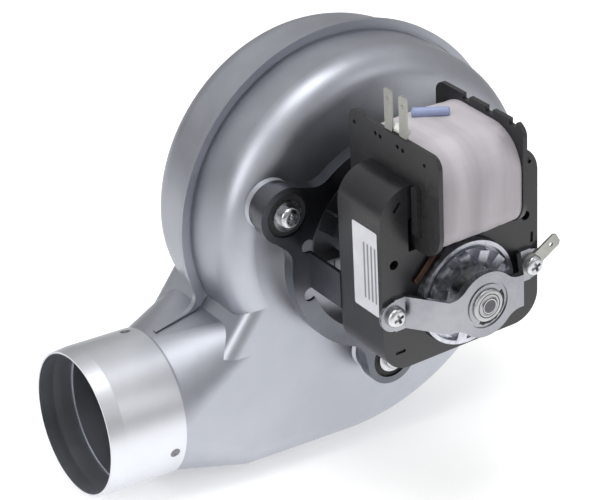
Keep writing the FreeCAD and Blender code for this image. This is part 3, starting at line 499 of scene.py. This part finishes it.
def tape_finish():
    material, nodes, links, surface = new_material("tape_cloth")
    place = object_place(nodes)
    along = nodes.new("ShaderNodeMapping")
    along.inputs["Scale"].default_value = (1.0, 0.10, 0.10)
    links.new(place, along.inputs["Vector"])
    turns = noise_at(nodes, links, along.outputs["Vector"], 130.0, 2.0)
    cloud = noise_at(nodes, links, place, 70.0, 4.0)
    cloth = colour_between(nodes, links, turns, *grain_band, (0.39, 0.36, 0.385),
                           (0.53, 0.50, 0.53))
    reach = distance_from(nodes, links, place, smudge_place)
    near = value_between(nodes, links, reach, *smudge_edges, 0.65, 0.0)
    patch = product_of(nodes, links, near,
                       value_between(nodes, links, cloud, 0.4, 0.55, 0.0, 1.0))
    links.new(colour_between(nodes, links, patch, *full_band, cloth, (0.10, 0.09, 0.10)),
              surface.inputs["Base Color"])
    links.new(value_between(nodes, links, cloud, *grain_band, 0.38, 0.60),
              surface.inputs["Roughness"])
    bump_from(nodes, links, surface, turns, 0.0009, 0.2)
    return material


def slice_along(shape, axis, low, high, step):
    normal = Vector((0.0, 0.0, 0.0))
    normal[axis] = 1.0
    place = low + step
    while place < high:
        bmesh.ops.bisect_plane(shape, geom=shape.faces[:] + shape.edges[:] + shape.verts[:],
                               plane_co=normal * place, plane_no=normal)
        place += step


def wound_tape():
    shape = bmesh.new()
    bmesh.ops.create_cube(shape, size=1.0)
    bmesh.ops.scale(shape, vec=tape_size, verts=shape.verts)
    bmesh.ops.translate(shape, vec=coil_middle, verts=shape.verts)
    for upper, radius, segments in ((True, tape_upper_corner, 10), (False, tape_lower_corner, 6)):
        edges = [edge for edge in edges_along_x(shape, 0.01)
                 if (edge.verts[0].co.z > coil_middle.z) == upper]
        round_edges(shape, edges, radius, segments)
    ends = [face for face in shape.faces if abs(face.normal.x) > 0.9]
    bmesh.ops.delete(shape, geom=ends, context="FACES_ONLY")
    low = coil_middle - tape_size / 2.0
    high = coil_middle + tape_size / 2.0
    for axis, step in enumerate((0.0012, 0.003, 0.003)):
        slice_along(shape, axis, low[axis], high[axis], step)
    shape.normal_update()
    for vert in shape.verts:
        across = vert.co.x / (tape_size.x / 2.0)
        crown = tape_crown * (1.0 - across * across)
        ridge = noise.noise(vert.co * ridge_scale)
        lump = noise.noise(vert.co * lump_scale)
        vert.co += vert.normal * (crown + ridge_height * ridge + lump_height * lump)
    bmesh.ops.solidify(shape, geom=shape.faces[:], thickness=tape_sheet)
    return new_piece("wound_tape", shape, tape_finish())


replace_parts(wound_tape(), "coil_tape")

# Terminals and earth tab: blades stamped from brass sheet and tinned, greyish and a little
# dull. The terminals stand in the bobbin's flange, and the tab is screwed under the bridge.
tin_plate = sheet_finish("tin_plate", (0.30, 0.30, 0.28), (0.42, 0.42, 0.39), 0.28, 0.42,
                         90.0, 700.0)
dress(tin_plate, "coil_terminals", "earth_tab")

# Sleeves on the coil: a white one over the joint between the terminals, a blue one over the
# thermal cut-out on top. Both are soft plastic tube, slipped on and held by the lacquer.
white_sleeve = dull_finish("white_sleeve", (0.60, 0.60, 0.57), (0.74, 0.74, 0.71), 0.45, 0.6,
                           300.0, 0.00004)
dress(white_sleeve, "lead_sleeve")
blue_sleeve = dull_finish("blue_sleeve", (0.22, 0.27, 0.46), (0.33, 0.38, 0.58), 0.4, 0.55,
                          120.0, 0.00005)
dress(blue_sleeve, "thermal_link")

# Bearing bridges: straps pressed from zinc-plated sheet with folded edges, screwed to the stack
# in front and behind. They hold the shaft's bearings.
bridge_zinc = sheet_finish("bridge_zinc", (0.25, 0.255, 0.28), (0.34, 0.345, 0.37), 0.24, 0.36,
                           60.0, 500.0)
dress(bridge_zinc, "front_bridge", "rear_bridge")

# Bearings: sintered bushes pressed into the bridges, with the spring plates that hold them.
# Turned grooves run round the shaft's axis and show as thin dark rings painted into the colour.
core_edge = 0.0002


def turned_finish(name, dark, light, groove_radius, groove_half_width, core=None):
    material, nodes, links, surface = new_material(name)
    cloud, scratch = handled(nodes, 160.0, 700.0)
    colour = colour_between(nodes, links, cloud, *cloud_band, dark, light)
    # distance from the shaft's axis, which is the Y axis
    flat = nodes.new("ShaderNodeVectorMath")
    flat.operation = "MULTIPLY"
    flat.inputs[1].default_value = (1.0, 0.0, 1.0)
    links.new(object_place(nodes), flat.inputs[0])
    reach = nodes.new("ShaderNodeVectorMath")
    reach.operation = "LENGTH"
    links.new(flat.outputs["Vector"], reach.inputs[0])
    groove = nodes.new("ShaderNodeMath")
    groove.operation = "COMPARE"
    groove.inputs[1].default_value = groove_radius
    groove.inputs[2].default_value = groove_half_width
    links.new(reach.outputs["Value"], groove.inputs[0])
    colour = colour_between(nodes, links, groove.outputs["Value"], *full_band, colour,
                            (0.03, 0.03, 0.035))
    if core:
        colour = colour_between(nodes, links, reach.outputs["Value"], core, core + core_edge,
                                (0.10, 0.10, 0.11), colour)
    links.new(colour, surface.inputs["Base Color"])
    links.new(value_between(nodes, links, cloud, *cloud_band, 0.3, 0.45),
              surface.inputs["Roughness"])
    surface.inputs["Metallic"].default_value = 1.0
    bump_from(nodes, links, surface, scratch, 0.00001)
    return material


bearing_sinter = turned_finish("bearing_sinter", (0.34, 0.34, 0.35), (0.46, 0.46, 0.47),
                               0.0050, 0.0002)
dress(bearing_sinter, "front_bearing", "rear_bearing")
spring_steel = turned_finish("spring_steel", (0.38, 0.38, 0.39), (0.50, 0.50, 0.51),
                             0.0096, 0.0002)
dress(spring_steel, "front_bearing_retainer", "rear_bearing_retainer")

# Felt of the front bearing: an arc of oiled felt that shows between the bush and the bridge.
# It was cut from sheet and tucked in, so its edges are a little uneven.
felt_radii = (0.0071, 0.0084)
felt_place = -0.14152
felt_start = math.radians(34.0)
felt_arc = math.radians(154.0)
felt_sheet = 0.0001
felt_unevenness = 0.06
felt_noise_scale = 900.0


def bearing_felt():
    shape = bmesh.new()
    ends = [shape.verts.new((radius * math.cos(felt_start), felt_place,
                             radius * math.sin(felt_start))) for radius in felt_radii]
    edge = shape.edges.new(ends)
    bmesh.ops.spin(shape, geom=[edge] + ends, cent=(0.0, 0.0, 0.0), axis=(0.0, 1.0, 0.0),
                   angle=felt_arc, steps=40)
    for vert in shape.verts:
        outward = Vector((vert.co.x, 0.0, vert.co.z))
        vert.co += outward * felt_unevenness * noise.noise(vert.co * felt_noise_scale)
    bmesh.ops.recalc_face_normals(shape, faces=shape.faces)
    bmesh.ops.solidify(shape, geom=shape.faces[:], thickness=felt_sheet)
    felt = dull_finish("oiled_felt", (0.008, 0.008, 0.008), (0.03, 0.028, 0.026), 0.5, 0.8,
                       1500.0, 0.0001)
    return new_piece("bearing_felt", shape, felt)


bearing_felt()

# Rotor: a laminated iron core, ground to size, with ends of cast aluminium. It is pressed on a
# ground steel shaft whose tip shows a turned centre.
rotor_iron = sheet_finish("rotor_iron", (0.16, 0.16, 0.165), (0.26, 0.26, 0.265), 0.35, 0.45,
                          120.0, 700.0)
dress(rotor_iron, "rotor_core")
shaft_steel = turned_finish("shaft_steel", (0.42, 0.42, 0.43), (0.56, 0.56, 0.57),
                            0.0034, 0.00015, core=0.0027)
dress(shaft_steel, "rotor_shaft")
cast_aluminium = sheet_finish("cast_aluminium", (0.38, 0.39, 0.43), (0.60, 0.61, 0.66), 0.28,
                              0.45, 420.0, 500.0, scratch_depth=0.0001)
dress(cast_aluminium, "rotor_end_front", "rotor_end_rear")

# Cooling wheel: pressed from plain aluminium sheet and fixed on the shaft behind the motor. It
# blows air over the coil. Its tone is painted far darker than bare aluminium, as painted shade
# for the shadow between the motor and the casing.
light_sheet = sheet_finish("light_sheet", (0.22, 0.225, 0.24), (0.34, 0.345, 0.36), 0.30, 0.42)
dress(light_sheet, "cooling_fan")

# Blade wheel: disc, blades and ring of aluminised sheet, riveted through to a turned hub of
# brass that sits on the shaft's end.
wheel_sheet = sheet_finish("wheel_sheet", (0.48, 0.485, 0.50), (0.6, 0.605, 0.62), 0.3, 0.42)
dress(wheel_sheet, "wheel_disc", "wheel_ring", "wheel_blades")
hub_brass = sheet_finish("hub_brass", (0.42, 0.33, 0.17), (0.52, 0.42, 0.22), 0.28, 0.38,
                         120.0, 600.0)
dress(hub_brass, "wheel_hub")
